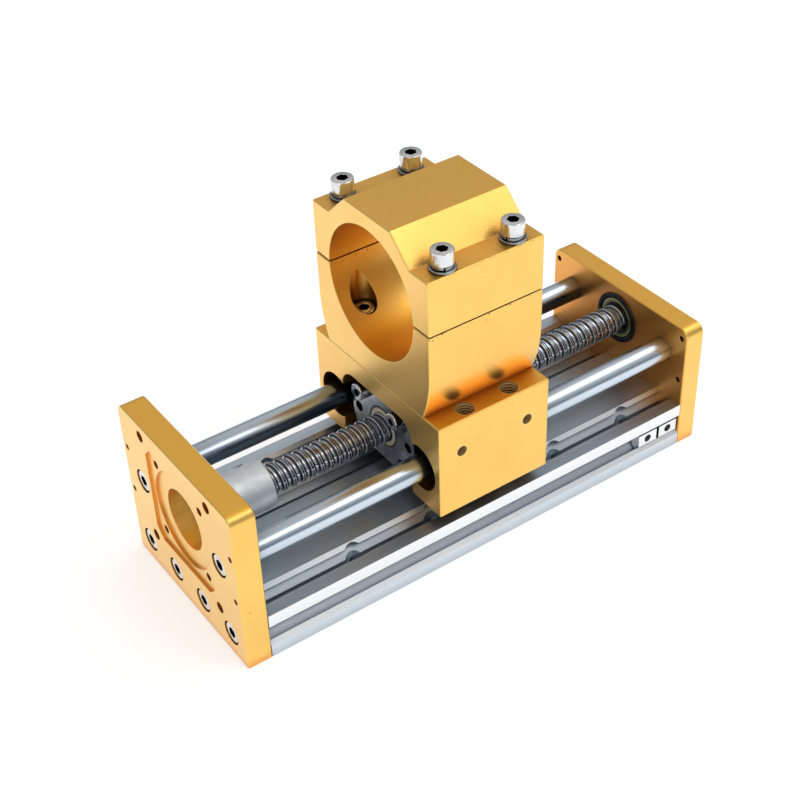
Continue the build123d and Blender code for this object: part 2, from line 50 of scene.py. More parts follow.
def clearSelection():
    active = bpy.context.view_layer.objects.active
    if active and active.mode != "OBJECT":
        bpy.ops.object.mode_set(mode="OBJECT")
    bpy.ops.object.select_all(action="DESELECT")


def pick(piece):
    clearSelection()
    piece.select_set(True)
    bpy.context.view_layer.objects.active = piece


def editMode(kind):
    # kind is VERT, EDGE or FACE
    bpy.ops.object.mode_set(mode="EDIT")
    bpy.ops.mesh.select_mode(type=kind)


def objectMode():
    bpy.ops.object.mode_set(mode="OBJECT")


def selectPart(piece, kind, test):
    # leaves the piece in edit mode with only the matching verts, edges or faces selected
    objectMode()
    mesh = piece.data
    for group in (mesh.vertices, mesh.edges, mesh.polygons):
        for item in group:
            item.select = False
    if kind == "VERT":
        for v in mesh.vertices:
            v.select = test(v.co)
    if kind == "EDGE":
        for e in mesh.edges:
            a, b = (mesh.vertices[i].co for i in e.vertices)
            e.select = test(a, b)
    if kind == "FACE":
        for f in mesh.polygons:
            f.select = test(f.center, f.normal)
    editMode(kind)


def applyPlace(piece):
    pick(piece)
    bpy.ops.object.transform_apply(location=True, rotation=True, scale=True)


def applyAll(piece):
    pick(piece)
    for modifier in list(piece.modifiers):
        bpy.ops.object.modifier_apply(modifier=modifier.name)


def outwards(piece):
    pick(piece)
    editMode("FACE")
    bpy.ops.mesh.select_all(action="SELECT")
    bpy.ops.mesh.remove_doubles(threshold=2 * hair)
    bpy.ops.mesh.normals_make_consistent(inside=False)
    objectMode()


def smooth(piece, degrees):
    pick(piece)
    bpy.ops.object.shade_smooth_by_angle(angle=math.radians(degrees))


def joinPieces(pieces, name):
    clearSelection()
    for piece in pieces:
        piece.select_set(True)
    bpy.context.view_layer.objects.active = pieces[0]
    bpy.ops.object.join()
    joined = bpy.context.view_layer.objects.active
    joined.name = name
    joined.data.name = name
    return joined


def copyTo(piece, name, matrix):
    # a copy with its own mesh, moved to its place
    twin = piece.copy()
    twin.data = piece.data.copy()
    twin.name = name
    twin.data.name = name
    bpy.context.collection.objects.link(twin)
    twin.data.transform(matrix)
    return twin


def nodeCentre(name):
    low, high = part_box(name)
    return (low + high) / 2, high - low


# shader groups shared by several materials

def newGroup(name, inputs, outputs):
    group = bpy.data.node_groups.new(name, "ShaderNodeTree")
    for label, kind, value in inputs:
        socket = group.interface.new_socket(label, in_out="INPUT", socket_type=kind)
        socket.default_value = value
    for label, kind in outputs:
        group.interface.new_socket(label, in_out="OUTPUT", socket_type=kind)
    return group, group.nodes.new("NodeGroupInput"), group.nodes.new("NodeGroupOutput")


def wire(tree, *pairs):
    for source, target in pairs:
        tree.links.new(source, target)


def addNode(tree, kind, **values):
    node = tree.nodes.new(kind)
    for key, value in values.items():
        setattr(node, key, value)
    return node


def scaled(tree, source, scale):
    node = tree.nodes.new("ShaderNodeMapping")
    node.inputs["Scale"].default_value = scale
    tree.links.new(source, node.inputs["Vector"])
    return node.outputs["Vector"]


def noise(tree, source, scale, detail=2.0, roughness=0.5):
    node = tree.nodes.new("ShaderNodeTexNoise")
    node.inputs["Scale"].default_value = scale
    node.inputs["Detail"].default_value = detail
    node.inputs["Roughness"].default_value = roughness
    tree.links.new(source, node.inputs["Vector"])
    return node.outputs["Fac"]


def remap(tree, source, low, high, toLow=0.0, toHigh=1.0):
    node = tree.nodes.new("ShaderNodeMapRange")
    node.inputs["From Min"].default_value = low
    node.inputs["From Max"].default_value = high
    node.inputs["To Min"].default_value = toLow
    node.inputs["To Max"].default_value = toHigh
    tree.links.new(source, node.inputs["Value"])
    return node.outputs["Result"]


def compute(tree, operation, a, b):
    node = tree.nodes.new("ShaderNodeMath")
    node.operation = operation
    for socket, value in zip(node.inputs, (a, b)):
        if isinstance(value, (int, float)):
            socket.default_value = value
        else:
            tree.links.new(value, socket)
    return node.outputs["Value"]


def mixColour(tree, factor, a, b, mode="MIX"):
    node = tree.nodes.new("ShaderNodeMix")
    node.data_type = "RGBA"
    node.blend_type = mode
    for socket, value in zip((node.inputs[0], node.inputs[6], node.inputs[7]), (factor, a, b)):
        if isinstance(value, (int, float)):
            socket.default_value = value
        elif isinstance(value, tuple):
            socket.default_value = (*value, 1.0)
        else:
            tree.links.new(value, socket)
    return node.outputs[2]


def paintOver(tree, mask, amount, tone, colour):
    # the colour over the tone where the mask is bright
    return mixColour(tree, compute(tree, "MULTIPLY", mask, amount), tone, colour)


def rampColour(tree, source, stops):
    # stops are (place from 0 to 1, colour)
    ramp = tree.nodes.new("ShaderNodeValToRGB")
    elements = ramp.color_ramp.elements
    while len(elements) < len(stops):
        elements.new(0.5)
    for element, (position, colour) in zip(elements, stops):
        element.position = position
        element.color = (*colour, 1)
    tree.links.new(source, ramp.inputs["Fac"])
    return ramp.outputs["Color"]


def distance(tree, a, b):
    squares = compute(tree, "ADD", compute(tree, "MULTIPLY", a, a), compute(tree, "MULTIPLY", b, b))
    return compute(tree, "SQRT", squares, 0)


def makeEdgeGroup():
    # line where two faces meet, painted as a highlight on the gold and steel parts and as shade on the
    # extrusion and rods
    group, given, out = newGroup("edgeMask", [("Radius", "NodeSocketFloat", 0.0004),
                                              ("Sharpness", "NodeSocketFloat", 4.0)],
                                 [("Mask", "NodeSocketFloat"), ("Normal", "NodeSocketVector")])
    rounded = addNode(group, "ShaderNodeBevel", samples=4)
    geometry = addNode(group, "ShaderNodeNewGeometry")
    dot = addNode(group, "ShaderNodeVectorMath", operation="DOT_PRODUCT")
    wire(group, (given.outputs["Radius"], rounded.inputs["Radius"]),
         (rounded.outputs["Normal"], dot.inputs[0]), (geometry.outputs["Normal"], dot.inputs[1]))
    bend = compute(group, "SUBTRACT", 1.0, dot.outputs["Value"])
    sharp = compute(group, "MULTIPLY", bend, given.outputs["Sharpness"])
    mask = remap(group, sharp, 0.05, 1.0)
    wire(group, (mask, out.inputs["Mask"]), (rounded.outputs["Normal"], out.inputs["Normal"]))
    return group


def makeSmudgeGroup():
    # broad handling marks, and small specks and nicks
    group, given, out = newGroup("handling", [("Vector", "NodeSocketVector", (0, 0, 0)),
                                              ("Speck Amount", "NodeSocketFloat", 0.5)],
                                 [("Smudge", "NodeSocketFloat"), ("Specks", "NodeSocketFloat")])
    broad = noise(group, given.outputs["Vector"], 38.0, 4.0, 0.6)
    smudge = remap(group, broad, 0.35, 0.72)
    cells = addNode(group, "ShaderNodeTexVoronoi", feature="F1")
    cells.inputs["Scale"].default_value = 210.0
    wire(group, (given.outputs["Vector"], cells.inputs["Vector"]))
    dots = remap(group, cells.outputs["Distance"], 0.10, 0.03)
    chosen = noise(group, given.outputs["Vector"], 95.0, 1.0)
    few = remap(group, chosen, 0.62, 0.66)
    specks = compute(group, "MULTIPLY", dots, few)
    specks = compute(group, "MULTIPLY", specks, given.outputs["Speck Amount"])
    wire(group, (smudge, out.inputs["Smudge"]), (specks, out.inputs["Specks"]))
    return group


def makeLinesGroup():
    # drawn or turned lines: the vector is stretched before it comes in
    group, given, out = newGroup("drawnLines", [("Vector", "NodeSocketVector", (0, 0, 0))],
                                 [("Fine", "NodeSocketFloat"), ("Broad", "NodeSocketFloat")])
    fine = noise(group, given.outputs["Vector"], 1.0, 3.0, 0.7)
    broad = noise(group, scaled(group, given.outputs["Vector"], (0.17, 0.17, 0.17)), 1.0, 1.0)
    wire(group, (remap(group, fine, 0.3, 0.7), out.inputs["Fine"]),
         (remap(group, broad, 0.35, 0.65), out.inputs["Broad"]))
    return group


def makePaintedShadeGroup():
    # painted shade mask: 0 on open faces, towards 1 inside bores, pockets and corners, where shade falls
    group, given, out = newGroup("paintedShade", [("Reach", "NodeSocketFloat", 0.05)],
                                 [("Corner Shade", "NodeSocketFloat"), ("Cavity Shade", "NodeSocketFloat")])
    openness = addNode(group, "ShaderNodeAmbientOcclusion", samples=6)
    wire(group, (given.outputs["Reach"], openness.inputs["Distance"]))
    corner = remap(group, openness.outputs["AO"], 0.88, 0.36)
    cavityShade = remap(group, openness.outputs["AO"], 0.30, 0.02)
    wire(group, (corner, out.inputs["Corner Shade"]), (cavityShade, out.inputs["Cavity Shade"]))
    return group


def makeAxisGroup():
    # distance from a line along X at the given height, as a share of the reach
    group, given, out = newGroup("aroundAxis", [("Vector", "NodeSocketVector", (0, 0, 0)),
                                                ("Height", "NodeSocketFloat", 0.0),
                                                ("Reach", "NodeSocketFloat", 0.01)],
                                 [("Share", "NodeSocketFloat")])
    parts = addNode(group, "ShaderNodeSeparateXYZ")
    wire(group, (given.outputs["Vector"], parts.inputs[0]))
    up = compute(group, "SUBTRACT", parts.outputs["Z"], given.outputs["Height"])
    away = distance(group, parts.outputs["Y"], up)
    wire(group, (compute(group, "DIVIDE", away, given.outputs["Reach"]), out.inputs["Share"]))
    return group


def makeThreadGroup():
    # turns of thread inside a tapped hole whose axis runs along Z at the vector's origin
    group, given, out = newGroup("tappedThread", [("Vector", "NodeSocketVector", (0, 0, 0)),
                                                  ("Radius", "NodeSocketFloat", 0.0035),
                                                  ("Pitch", "NodeSocketFloat", 0.001)],
                                 [("Mask", "NodeSocketFloat"), ("Height", "NodeSocketFloat"),
                                  ("Rim", "NodeSocketFloat")])
    parts = addNode(group, "ShaderNodeSeparateXYZ")
    wire(group, (given.outputs["Vector"], parts.inputs[0]))
    x, y, z = parts.outputs
    beyond = compute(group, "DIVIDE", distance(group, x, y), given.outputs["Radius"])
    mask = remap(group, beyond, 1.06, 1.02)
    turns = compute(group, "MULTIPLY", compute(group, "DIVIDE", z, given.outputs["Pitch"]), math.tau)
    wave = compute(group, "SINE", turns, 0)
    wire(group, (mask, out.inputs["Mask"]), (remap(group, wave, -1, 1), out.inputs["Height"]),
         (remap(group, beyond, 1.22, 1.12), out.inputs["Rim"]))
    return group


tappedThread = makeThreadGroup()
aroundAxis = makeAxisGroup()
edgeMask = makeEdgeGroup()
paintedShade = makePaintedShadeGroup()
handling = makeSmudgeGroup()
drawnLines = makeLinesGroup()


def useGroup(tree, group, **values):
    node = tree.nodes.new("ShaderNodeGroup")
    node.node_tree = group
    for key, value in values.items():
        socket = node.inputs[key.replace("_", " ")]
        if isinstance(value, (int, float)):
            socket.default_value = value
        else:
            tree.links.new(value, socket)
    return node.outputs


def startMaterial(name, roughness=0.4, metallic=1.0, coat=0.0, coatRoughness=0.2):
    material = bpy.data.materials.new(name)
    material.use_nodes = True
    tree = material.node_tree
    shader = tree.nodes["Principled BSDF"]
    shader.inputs["Roughness"].default_value = roughness
    shader.inputs["Metallic"].default_value = metallic
    shader.inputs["Coat Weight"].default_value = coat
    shader.inputs["Coat Roughness"].default_value = coatRoughness
    place = tree.nodes.new("ShaderNodeTexCoord").outputs["Object"]
    return material, tree, shader, place


def addBump(tree, shader, height, strength, depth, normal=None):
    bump = tree.nodes.new("ShaderNodeBump")
    bump.inputs["Strength"].default_value = strength
    bump.inputs["Distance"].default_value = depth
    wire(tree, (height, bump.inputs["Height"]), (bump.outputs["Normal"], shader.inputs["Normal"]))
    if normal is not None:
        wire(tree, (normal, bump.inputs["Normal"]))


def foldedPlace(tree, place, hole):
    # mirrors the place about the hole pattern's middle, so that four holes share one thread
    shifted = addNode(tree, "ShaderNodeVectorMath", operation="SUBTRACT")
    shifted.inputs[1].default_value = hole["middle"]
    folded = addNode(tree, "ShaderNodeVectorMath", operation="ABSOLUTE")
    centred = addNode(tree, "ShaderNodeVectorMath", operation="SUBTRACT")
    centred.inputs[1].default_value = hole["offset"]
    wire(tree, (place, shifted.inputs[0]), (shifted.outputs[0], folded.inputs[0]),
         (folded.outputs[0], centred.inputs[0]))
    turned = addNode(tree, "ShaderNodeMapping")
    turned.inputs["Rotation"].default_value = hole.get("turn", (0, 0, 0))
    wire(tree, (centred.outputs[0], turned.inputs["Vector"]))
    return turned.outputs["Vector"]


def nicksBelow(tree, place, look):
    # small nicks in a band just below the height nickTop
    parts = addNode(tree, "ShaderNodeSeparateXYZ")
    wire(tree, (place, parts.inputs[0]))
    band = remap(tree, parts.outputs["Z"], look["nickTop"] - look["nickReach"], look["nickTop"])
    dots = addNode(tree, "ShaderNodeTexVoronoi")
    dots.inputs["Scale"].default_value = look["nickScale"]
    wire(tree, (place, dots.inputs["Vector"]))
    chosen = remap(tree, noise(tree, place, look["nickScale"] / 3, 1.0), 0.52, 0.58)
    nick = compute(tree, "MULTIPLY", remap(tree, dots.outputs["Distance"], 0.32, 0.18), chosen)
    return compute(tree, "MULTIPLY", nick, band)


def objectFacing(tree):
    # X, Y and Z of the way the surface faces
    facing = addNode(tree, "ShaderNodeSeparateXYZ")
    wire(tree, (addNode(tree, "ShaderNodeTexCoord").outputs["Normal"], facing.inputs[0]))
    return facing.outputs


def goldAnodised(name, look):
    # satin gold film over bead-blasted aluminium
    material, tree, shader, place = startMaterial(name, coat=look["coat"],
                                                  coatRoughness=look["coatRoughness"])
    marks = useGroup(tree, handling, Vector=place, Speck_Amount=look["specks"])
    edges = useGroup(tree, edgeMask, Radius=look["edgeRadius"], Sharpness=look["edgeSharpness"])
    tone = mixColour(tree, marks["Smudge"], look["colour"], look["deepColour"])
    inside = useGroup(tree, paintedShade, Reach=look["reach"])
    corner = inside["Corner Shade"]
    facing = objectFacing(tree)
    # painted light: faces turned upwards get their own colour
    tone = mixColour(tree, remap(tree, facing["Z"], 0.8, 0.95), tone, look["litTopColour"])
    # painted shade: the plates' inner faces darken over a wide reach
    if "innerSide" in look:
        inner = remap(tree, compute(tree, "MULTIPLY", facing["X"], look["innerSide"]), 0.4, 0.7)
        wide = useGroup(tree, paintedShade, Reach=look["wideReach"])
        corner = compute(tree, "MAXIMUM", corner, compute(tree, "MULTIPLY", wide["Corner Shade"], inner))
    # painted shade: deeper colour in corners and near black inside bores
    tone = mixColour(tree, corner, tone, look["cornerShadeColour"])
    tone = mixColour(tree, inside["Cavity Shade"], tone, look["cavityShadeColour"])
    # painted highlight along the edges
    edgeLit = paintOver(tree, edges["Mask"], look["edgeLightAndShade"], tone, look["edgeLightAndShadeColour"])
    spotted = mixColour(tree, marks["Specks"], edgeLit, look["speckColour"])
    grain = noise(tree, place, look["grainScale"], 2.0, 0.6)
    if "nickTop" in look:
        spotted = mixColour(tree, nicksBelow(tree, place, look), spotted, look["speckColour"])
    grainShine = remap(tree, grain, 0.52, 0.68, 0.0, look["grainTint"])
    spotted = mixColour(tree, grainShine, spotted, look["edgeLightAndShadeColour"])
    threaded = 0.0
    for hole in look.get("holes", []):
        thread = useGroup(tree, tappedThread, Vector=foldedPlace(tree, place, hole), Radius=hole["radius"],
                          Pitch=hole["pitch"])
        # painted shade and highlight: the turns of the tapped threads are painted dark and light, and each
        # hole's rim gets a painted highlight
        turns = mixColour(tree, thread["Height"], look["threadShadeColour"], look["threadHighlightColour"])
        spotted = paintOver(tree, thread["Rim"], look["rimShine"], spotted, look["edgeLightAndShadeColour"])
        spotted = mixColour(tree, thread["Mask"], spotted, turns)
        threaded = compute(tree, "MAXIMUM", threaded, thread["Mask"])
    if "holes" in look:
        wire(tree, (remap(tree, threaded, 0, 1, 1.0, look["threadMetallic"]), shader.inputs["Metallic"]))
    wire(tree, (spotted, shader.inputs["Base Color"]))
    rough = compute(tree, "ADD", remap(tree, marks["Smudge"], 0, 1, look["roughLow"], look["roughHigh"]),
                    remap(tree, grain, 0.3, 0.7, -0.03, 0.03))
    wire(tree, (rough, shader.inputs["Roughness"]))
    addBump(tree, shader, grain, look["grainStrength"], look["grainDepth"], edges["Normal"])
    return material


# the corner and cavity colours are painted shade, the top colour is painted light on upward faces, and the
# edge colour is a painted highlight
goldLook = {
    "colour": (0.955, 0.59, 0.115), "deepColour": (0.915, 0.545, 0.097), "edgeLightAndShadeColour": (0.98, 0.78, 0.40),
    "litTopColour": (1.0, 0.545, 0.050), "edgeSharpness": 3.0,
    "cornerShadeColour": (0.86, 0.34, 0.012), "cavityShadeColour": (0.05, 0.02, 0.006), "reach": 0.034,
    "speckColour": (0.12, 0.06, 0.02), "specks": 0.8, "edgeLightAndShade": 0.55, "edgeRadius": 0.00035,
    "coat": 0.8, "coatRoughness": 0.34, "roughLow": 0.35, "roughHigh": 0.43,
    "grainScale": 1900.0, "grainStrength": 0.25, "grainDepth": 0.00004, "grainTint": 0.12}
goldMotorPlate = goldAnodised("gold_motor_plate", {**goldLook, "innerSide": 1.0, "wideReach": 0.10,
                                                   "reach": 0.006, "cornerShadeColour": (0.74, 0.24, 0.008)})
goldBearingPlate = goldAnodised("gold_bearing_plate", {**goldLook, "innerSide": -1.0, "wideReach": 0.12,
                                                       "reach": 0.006, "cornerShadeColour": (0.76, 0.27, 0.010)})
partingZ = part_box("clamp_base")[1].z
goldClamp = goldAnodised("gold_clamp", {**goldLook, "specks": 0.9, "cornerShadeColour": (0.52, 0.19, 0.004),
                                        "nickTop": partingZ, "nickReach": 3.5 * mm, "nickScale": 650.0})
blockCentre = nodeCentre("carriage_block")[0]
shelfHoles = {"middle": (blockCentre.x, 0, 0), "offset": (10 * mm, 35.2 * mm, 0),
              "radius": 3.4 * mm, "pitch": 1.25 * mm}
sideHoles = {"middle": (blockCentre.x, 0, 52 * mm), "offset": (15 * mm, 0, 0),
             "radius": 2.1 * mm, "pitch": 0.8 * mm, "turn": (math.pi / 2, 0, 0)}
goldBlock = goldAnodised("gold_block", {**goldLook, "holes": [shelfHoles, sideHoles], "rimShine": 0.5,
                                        "threadShadeColour": (0.10, 0.045, 0.015), "threadMetallic": 0.25,
                                        "threadHighlightColour": (1.0, 0.66, 0.26)})
goldCap = goldAnodised("gold_cap", {**goldLook, "cornerShadeColour": (0.52, 0.19, 0.004),
                                    "grainScale": 2100.0, "grainStrength": 0.9, "grainTint": 0.3,
                                    "grainDepth": 0.00009, "roughLow": 0.30, "roughHigh": 0.38})


def drawnMetal(name, look):
    # metal with lines along X, as on a drawn extrusion or a ground rod
    material, tree, shader, place = startMaterial(name)
    lines = useGroup(tree, drawnLines, Vector=scaled(tree, place, look["stretch"]))
    marks = useGroup(tree, handling, Vector=place, Speck_Amount=look["specks"])
    tone = mixColour(tree, lines["Broad"], look["colour"], look["secondColour"])
    facing = objectFacing(tree)
    # painted light: faces turned along Y get the lighter side colour
    side = remap(tree, compute(tree, "ABSOLUTE", facing["Y"], 0), 0.50, 0.68)
    tone = mixColour(tree, side, tone, look["litSideColour"])
    # painted shade over a wide reach and in corners
    wide = useGroup(tree, paintedShade, Reach=look["wideReach"])
    tone = mixColour(tree, wide["Corner Shade"], tone, look["shadedColour"])
    # painted shade on faces turned downwards
    if "shadedUndersideColour" in look:
        tone = mixColour(tree, remap(tree, facing["Z"], 0.62, 0.42), tone, look["shadedUndersideColour"])
    inside = useGroup(tree, paintedShade, Reach=look["reach"])
    tone = mixColour(tree, inside["Corner Shade"], tone, look["cornerShadeColour"])
    # painted shade lines along the edges
    edges = useGroup(tree, edgeMask, Radius=look["edgeRadius"], Sharpness=look["edgeSharpness"])
    tone = paintOver(tree, edges["Mask"], look["edgeLightAndShade"], tone, look["edgeLightAndShadeColour"])
    spotted = mixColour(tree, marks["Specks"], tone, look["speckColour"])
    wire(tree, (spotted, shader.inputs["Base Color"]))
    rough = compute(tree, "ADD", remap(tree, lines["Fine"], 0, 1, look["roughLow"], look["roughHigh"]),
                    remap(tree, marks["Smudge"], 0, 1, 0.0, look["smudge"]))
    wire(tree, (rough, shader.inputs["Roughness"]))
    addBump(tree, shader, lines["Fine"], look["lineStrength"], look["lineDepth"])
    return material


# the side colour is painted light on faces turned along Y, the shaded and corner colours are painted shade,
# and the edge colour paints shade lines
extrusionLook = {
    "colour": (0.60, 0.70, 0.79), "secondColour": (0.52, 0.61, 0.70), "litSideColour": (0.93, 0.95, 0.96),
    "wideReach": 0.03, "shadedColour": (0.46, 0.54, 0.62), "speckColour": (0.2, 0.2, 0.2),
    "specks": 0.5, "stretch": (9.0, 1500.0, 1500.0), "roughLow": 0.32, "roughHigh": 0.42, "smudge": 0.05,
    "lineStrength": 0.25, "lineDepth": 0.00003, "cornerShadeColour": (0.40, 0.45, 0.50), "reach": 0.006,
    "edgeLightAndShadeColour": (0.16, 0.19, 0.22), "edgeLightAndShade": 0.8, "edgeRadius": 0.00022, "edgeSharpness": 6.0}
silverExtrusion = drawnMetal("silver_extrusion", extrusionLook)
rodLook = {
    **extrusionLook, "colour": (0.61, 0.70, 0.78), "secondColour": (0.54, 0.62, 0.70),
    "litSideColour": (0.61, 0.70, 0.78), "cornerShadeColour": (0.16, 0.18, 0.22),
    "shadedColour": (0.10, 0.13, 0.18), "stretch": (14.0, 900.0, 900.0), "roughLow": 0.17,
    "roughHigh": 0.25, "lineStrength": 0.10, "lineDepth": 0.00001}
rodChrome = drawnMetal("rod_chrome", rodLook)
# the far rod's lower side gets painted shade
farRodChrome = drawnMetal("far_rod_chrome", {**rodLook, "shadedUndersideColour": (0.15, 0.19, 0.24)})


screwAxisZ = nodeCentre("ball_screw")[0].z
ringReach = 10 * mm


def ringed(tree, place, tone, rings):
    # darkens or brightens the tone in rings about the ball screw
    around = useGroup(tree, aroundAxis, Vector=place, Height=screwAxisZ, Reach=ringReach)
    return mixColour(tree, 1.0, tone, rampColour(tree, around["Share"], rings), "MULTIPLY")


def machinedSteel(name, look):
    # turned or milled steel with a faint oil film, painted highlights along the edges and painted shade in
    # corners
    material, tree, shader, place = startMaterial(name, metallic=look.get("metallic", 1.0))
    edges = useGroup(tree, edgeMask, Radius=look["edgeRadius"], Sharpness=look["edgeSharpness"])
    inside = useGroup(tree, paintedShade, Reach=look["reach"])
    grain = noise(tree, place, look["grainScale"], 3.0, 0.6)
    film = noise(tree, place, look["filmScale"], 3.0, 0.55)
    mask = remap(tree, film, 0.38, 0.66)
    tone = mixColour(tree, mask, look["colour"], look["filmColour"])
    if "rings" in look:
        tone = ringed(tree, place, tone, look["rings"])
    # painted light and shade on the thread, carried by a mesh attribute
    if "attributeLightAndShade" in look:
        painted = addNode(tree, "ShaderNodeAttribute", attribute_name=look["attribute"])
        paintedThreadLight = rampColour(tree, painted.outputs["Fac"], look["attributeLightAndShade"])
        tone = mixColour(tree, 1.0, tone, paintedThreadLight, "MULTIPLY")
    # painted shade in corners and sockets
    tone = mixColour(tree, inside["Corner Shade"], tone, look["cornerShadeColour"])
    # painted highlight along the edges
    tone = paintOver(tree, edges["Mask"], look["edgeLightAndShade"], tone, look["edgeLightAndShadeColour"])
    wire(tree, (tone, shader.inputs["Base Color"]))
    rough = compute(tree, "ADD", remap(tree, mask, 0, 1, look["roughLow"], look["roughHigh"]),
                    remap(tree, grain, 0.3, 0.7, -0.02, 0.02))
    wire(tree, (rough, shader.inputs["Roughness"]))
    addBump(tree, shader, grain, look["grainStrength"], look["grainDepth"], edges["Normal"])
    return material


# the corner colour is painted shade and the edge colour a painted highlight
steelLook = {"colour": (0.62, 0.61, 0.60), "filmColour": (0.50, 0.49, 0.47), "grainScale": 2400.0,
             "filmScale": 160.0, "roughLow": 0.16, "roughHigh": 0.26, "grainStrength": 0.15,
             "cornerShadeColour": (0.06, 0.06, 0.07), "reach": 0.004, "edgeRadius": 0.0002, "edgeLightAndShade": 0.8,
             "edgeLightAndShadeColour": (0.95, 0.96, 0.97), "edgeSharpness": 4.0, "grainDepth": 0.00002}
# painted light and shade on the thread: plain shaft at 0, then from walls painted dark as shade at 0.2 to
# land edges painted bright as highlights at 1
threadLightAndShadeRamp = [(0.0, (0.60, 0.60, 0.60)), (0.1, (0.60, 0.60, 0.60)), (0.2, (0.02, 0.02, 0.025)),
               (0.6, (0.55, 0.55, 0.56)), (1.0, (1.0, 1.0, 1.0))]
screwSteel = machinedSteel("screw_steel", {
    **steelLook, "colour": (0.78, 0.86, 0.96), "filmColour": (0.68, 0.76, 0.86), "reach": 0.0015,
    "roughLow": 0.14, "roughHigh": 0.20, "attribute": "threadLightAndShade", "attributeLightAndShade": threadLightAndShadeRamp,
    "edgeLightAndShade": 0.0, "metallic": 0.8})
boltSteel = machinedSteel("bolt_stainless", {
    **steelLook, "colour": (0.76, 0.77, 0.78), "filmColour": (0.62, 0.63, 0.64), "roughLow": 0.12,
    "roughHigh": 0.18})
# painted shade: the hex sockets of the stainless heads are near black
socketShade = machinedSteel("socket_painted_shade", {
    **steelLook, "colour": (0.05, 0.05, 0.055), "filmColour": (0.02, 0.02, 0.022), "edgeLightAndShade": 0.3,
    "roughHigh": 0.4})
washerSteel = machinedSteel("washer_steel", {
    **steelLook, "colour": (0.34, 0.37, 0.40), "filmColour": (0.26, 0.29, 0.32), "edgeLightAndShade": 1.0,
    "edgeRadius": 0.0003})
nutSteel = machinedSteel("nut_steel", {
    **steelLook, "colour": (0.42, 0.43, 0.45), "filmColour": (0.22, 0.23, 0.25), "filmScale": 90.0,
    "roughHigh": 0.36})
darkSteel = machinedSteel("bearing_steel", {
    **steelLook, "colour": (0.20, 0.20, 0.21), "filmColour": (0.10, 0.10, 0.11), "roughHigh": 0.34})
# its edge colour is a painted highlight
blackRing = machinedSteel("bearing_black", {
    **steelLook, "colour": (0.045, 0.05, 0.075), "filmColour": (0.02, 0.022, 0.035), "roughLow": 0.25,
    "roughHigh": 0.4, "edgeLightAndShade": 0.35, "edgeLightAndShadeColour": (0.42, 0.42, 0.46)})
# painted shade on the lip next to the screw, the olive shield, a painted highlight on its rim, and the dark
# seat, outwards from the screw
shieldShadeAndHighlight = [(0.0, (0.04, 0.04, 0.04)), (0.68, (0.04, 0.04, 0.04)), (0.71, (0.62, 0.62, 0.62)),
               (0.80, (0.85, 0.85, 0.85)), (0.835, (1.7, 1.7, 1.6)), (0.86, (0.05, 0.05, 0.06))]
shieldSteel = machinedSteel("shield_steel", {
    **steelLook, "colour": (0.54, 0.52, 0.27), "filmColour": (0.38, 0.37, 0.19), "rings": shieldShadeAndHighlight,
    "roughLow": 0.3, "roughHigh": 0.45})
zincSteel = machinedSteel("slot_nut_zinc", {
    **steelLook, "colour": (0.90, 0.92, 0.94), "filmColour": (0.80, 0.82, 0.85), "reach": 0.002,
    "roughLow": 0.25, "roughHigh": 0.36})
couplingGrey = machinedSteel("coupling_grey", {
    **steelLook, "colour": (0.79, 0.86, 0.90), "filmColour": (0.73, 0.80, 0.85), "roughLow": 0.48,
    "roughHigh": 0.60, "grainStrength": 0.35, "cornerShadeColour": (0.40, 0.44, 0.48)})


def plainPlastic(name, look):
    # moulded plastic or rubber with a faint cloudiness
    roughness = look["roughness"]
    material, tree, shader, place = startMaterial(name, roughness=roughness, metallic=0.0)
    cloud = noise(tree, place, look["cloudScale"], 3.0, 0.6)
    tone = mixColour(tree, cloud, look["colour"], look["secondColour"])
    if "rings" in look:
        tone = ringed(tree, place, tone, look["rings"])
    rough = remap(tree, cloud, 0.3, 0.7, roughness - look["spread"], roughness + look["spread"])
    wire(tree, (tone, shader.inputs["Base Color"]), (rough, shader.inputs["Roughness"]))
    addBump(tree, shader, cloud, look["bumpStrength"], look["bumpDepth"])
    return material


plasticLook = {"cloudScale": 420.0, "spread": 0.06, "bumpStrength": 0.2, "bumpDepth": 0.00003}
blackRubber = plainPlastic("black_rubber", {
    **plasticLook, "colour": (0.018, 0.018, 0.019), "secondColour": (0.035, 0.034, 0.033),
    "roughness": 0.55})
# the wiper's outer edge is dark
wiperRings = [(0.0, (1, 1, 1)), (0.775, (1, 1, 1)), (0.79, (0.03, 0.03, 0.03))]
creamPlastic = plainPlastic("wiper_cream", {
    **plasticLook, "colour": (0.66, 0.62, 0.50), "secondColour": (0.50, 0.46, 0.36),
    "roughness": 0.48, "rings": wiperRings})
print("materials made")


# one pitch of groove and land, wound along the shaft
ballScrew = {"pitch": 4 * mm, "radius": 6 * mm, "grooveDepth": 0.80 * mm, "landWidth": 1.25 * mm,
             # painted light and shade for each line of one pitch
             "paintedThreadLight": [1.0, 0.42, 0.20, 0.42, 1.0, 0.22, 0.20, 0.30, 0.66, 0.95, 0.66, 0.30, 0.20, 0.22],
             "cuts": 13, "stepsPerTurn": 44, "journal": 4 * mm,
             "motorJournal": 11.5 * mm, "endJournal": 8.9 * mm, "journalEdge": 0.3 * mm, "overlap": 1 * mm}


def grooveDrop(share, settings):
    # how far the groove lies below the land, from 0 to 1 along one pitch
    land = settings["landWidth"] / settings["pitch"]
    if share < land:
        return 0.0
    across = (share - land) / (1 - land) * 2 - 1
    return settings["grooveDepth"] * math.sqrt(max(0.0, 1 - abs(across) ** 2.2))


def roundBar(name, radius, fromX, toX, axisZ, edge, sides=48):
    bpy.ops.mesh.primitive_cylinder_add(vertices=sides, radius=radius, depth=toX - fromX,
                                        location=((fromX + toX) / 2, 0, axisZ),
                                        rotation=(0, math.pi / 2, 0))
    bar = bpy.context.object
    bar.name = name
    applyPlace(bar)
    selectPart(bar, "EDGE", lambda a, b: abs(a.x - b.x) < hair)
    bpy.ops.mesh.bevel(offset=edge, segments=2)
    objectMode()
    return bar


